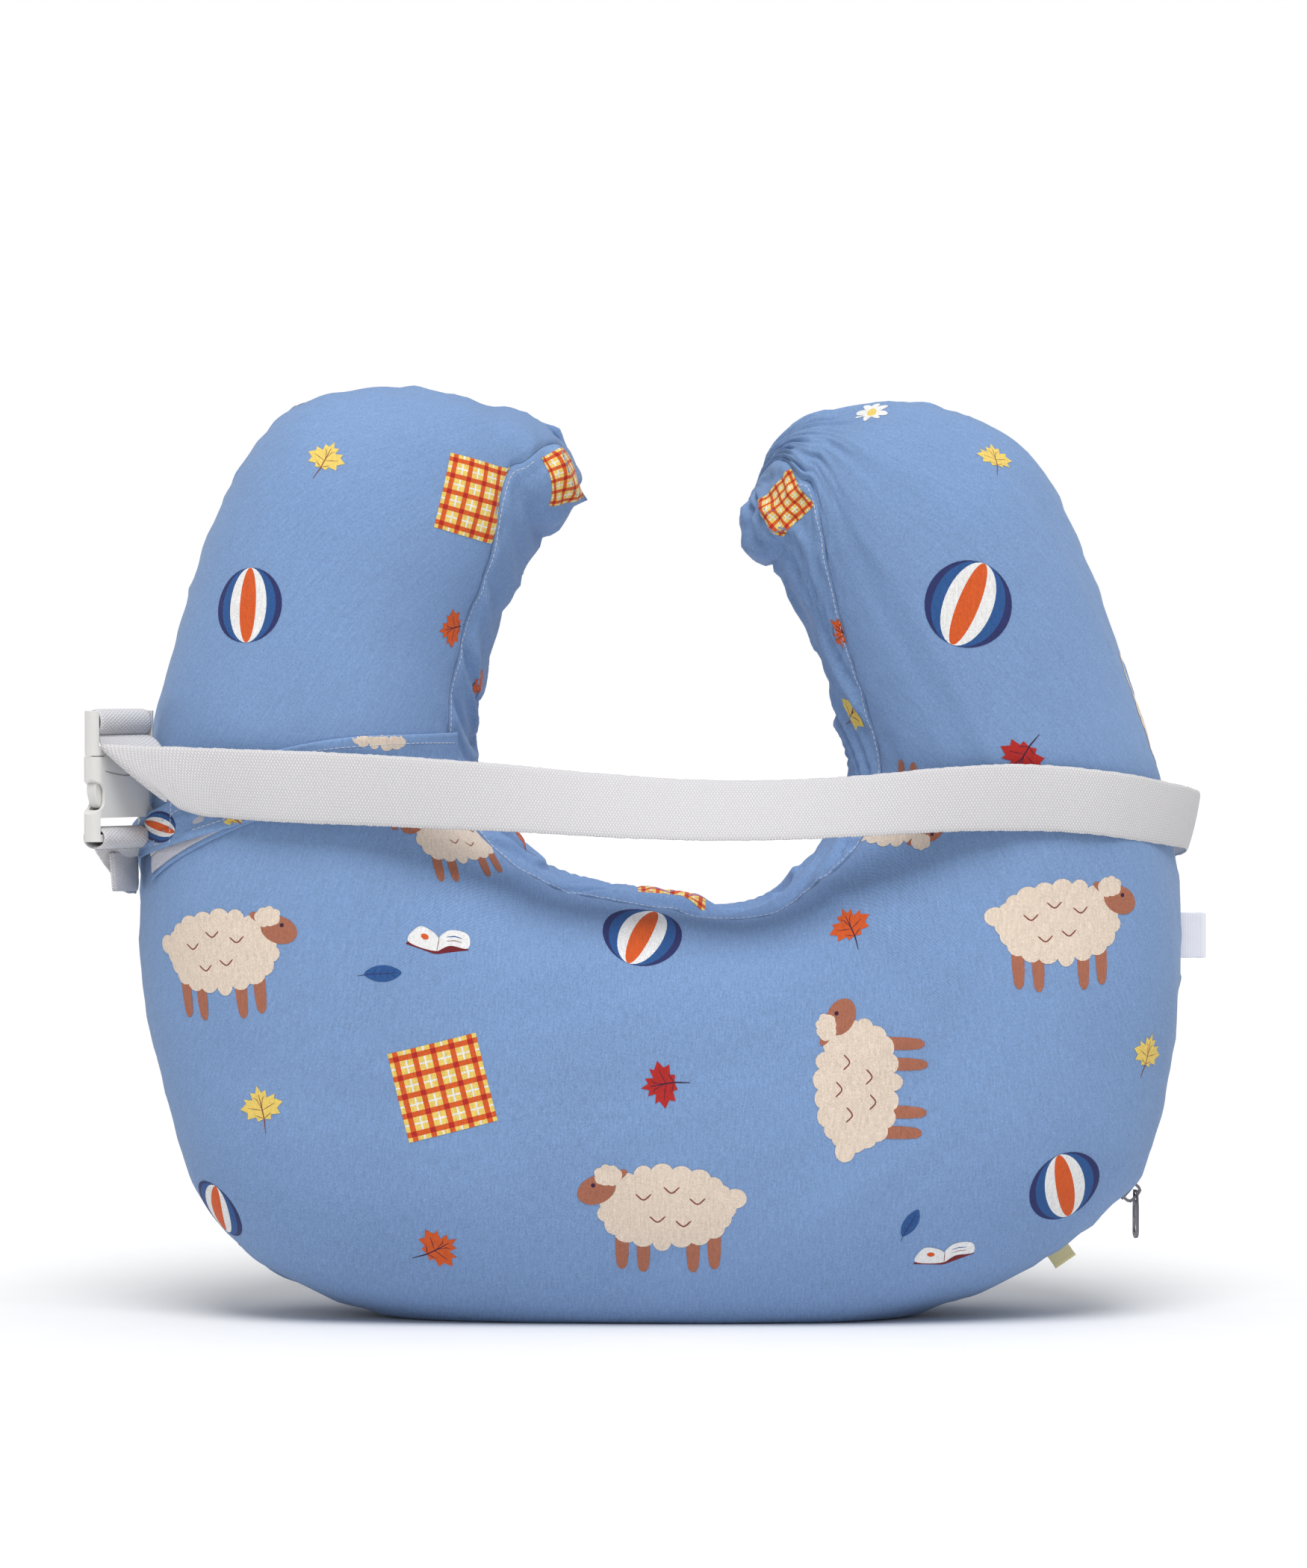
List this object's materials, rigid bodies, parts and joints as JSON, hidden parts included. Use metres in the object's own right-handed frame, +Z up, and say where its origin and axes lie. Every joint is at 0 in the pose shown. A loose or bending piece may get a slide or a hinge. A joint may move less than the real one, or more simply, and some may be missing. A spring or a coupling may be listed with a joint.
{
  "type": "nursing pillow",
  "caption": "C-shaped nursing pillow with a zipped cotton cover, a webbing waist strap with a side-release buckle and a hook-and-loop arm band.",
  "frame": {"origin": "centre of the bounding box, on the floor", "axes": "+Z up, -Y towards the front, +X to the right of a viewer in front"},
  "size_m": [0.6001, 0.1828, 0.497],
  "materials": {
    "cotton": "printed cotton twill",
    "liner": "plain non-woven",
    "fibre": "polyester fibre",
    "webbing": "woven nylon",
    "buckle": "satin moulded acetal",
    "zip_nylon": "nylon coil and woven tape",
    "zinc": "plated die-cast",
    "hook_and_loop": "napped",
    "label": "satin ribbon",
    "ribbon": "grosgrain"
  },
  "bodies": {
    "root": {"cover_front_panel": "cotton", "cover_back_panel": "cotton", "cover_inner_gusset": "cotton", "liner_front": "liner", "liner_back": "liner", "fibre_filling": "fibre", "zipper_tape_front": "zip_nylon", "zipper_tape_back": "zip_nylon", "zipper_teeth_front": "zip_nylon", "zipper_teeth_back": "zip_nylon", "zipper_bottom_stop": "zinc", "zipper_top_stop": "zinc", "arm_band_under_layer": "cotton", "loop_patch": "hook_and_loop", "hook_patch": "hook_and_loop", "arm_band_flap": "cotton", "waist_strap": "webbing", "tether_webbing": "webbing", "buckle_socket": "buckle", "care_label": "label", "corner_tab": "ribbon"},
    "zip_slider": {"zipper_slider": "zinc"},
    "zip_pull": {"zipper_pull": "zinc"},
    "buckle_plug": {"buckle_plug": "buckle", "strap_turn": "webbing"},
    "latch_left": {"latch_arm_left": "buckle"},
    "latch_right": {"latch_arm_right": "buckle"}
  },
  "joints": [
    {"name": "zip_slide", "type": "hinge", "parent": "root", "child": "zip_slider", "pos_m": [0.10476, 0.00391, 0.2039], "axis": [0, 1, 0], "range_deg": [0, 18]},
    {"name": "zip_pull_swing", "type": "hinge", "parent": "zip_slider", "child": "zip_pull", "pos_m": [0.26309, 0.00391, 0.06382], "axis": [-0.2924, 0.9563, 0], "range_deg": [-100, 0]},
    {"name": "buckle_release", "type": "slide", "parent": "root", "child": "buckle_plug", "axis": [0, 0, 1], "range_m": [0, 0.031], "deforming": ["latch_arm_left", "latch_arm_right"]},
    {"name": "latch_press_left", "type": "hinge", "parent": "buckle_plug", "child": "latch_left", "pos_m": [-0.2916, -0.06019, 0.3001], "axis": [0.766, -0.6428, 0], "range_deg": [0, 6], "stiffness_Nm_per_rad": 0.5},
    {"name": "latch_press_right", "type": "hinge", "parent": "buckle_plug", "child": "latch_right", "pos_m": [-0.27128, -0.03599, 0.3001], "axis": [-0.766, 0.6428, 0], "range_deg": [0, 6], "stiffness_Nm_per_rad": 0.5}
  ]
}
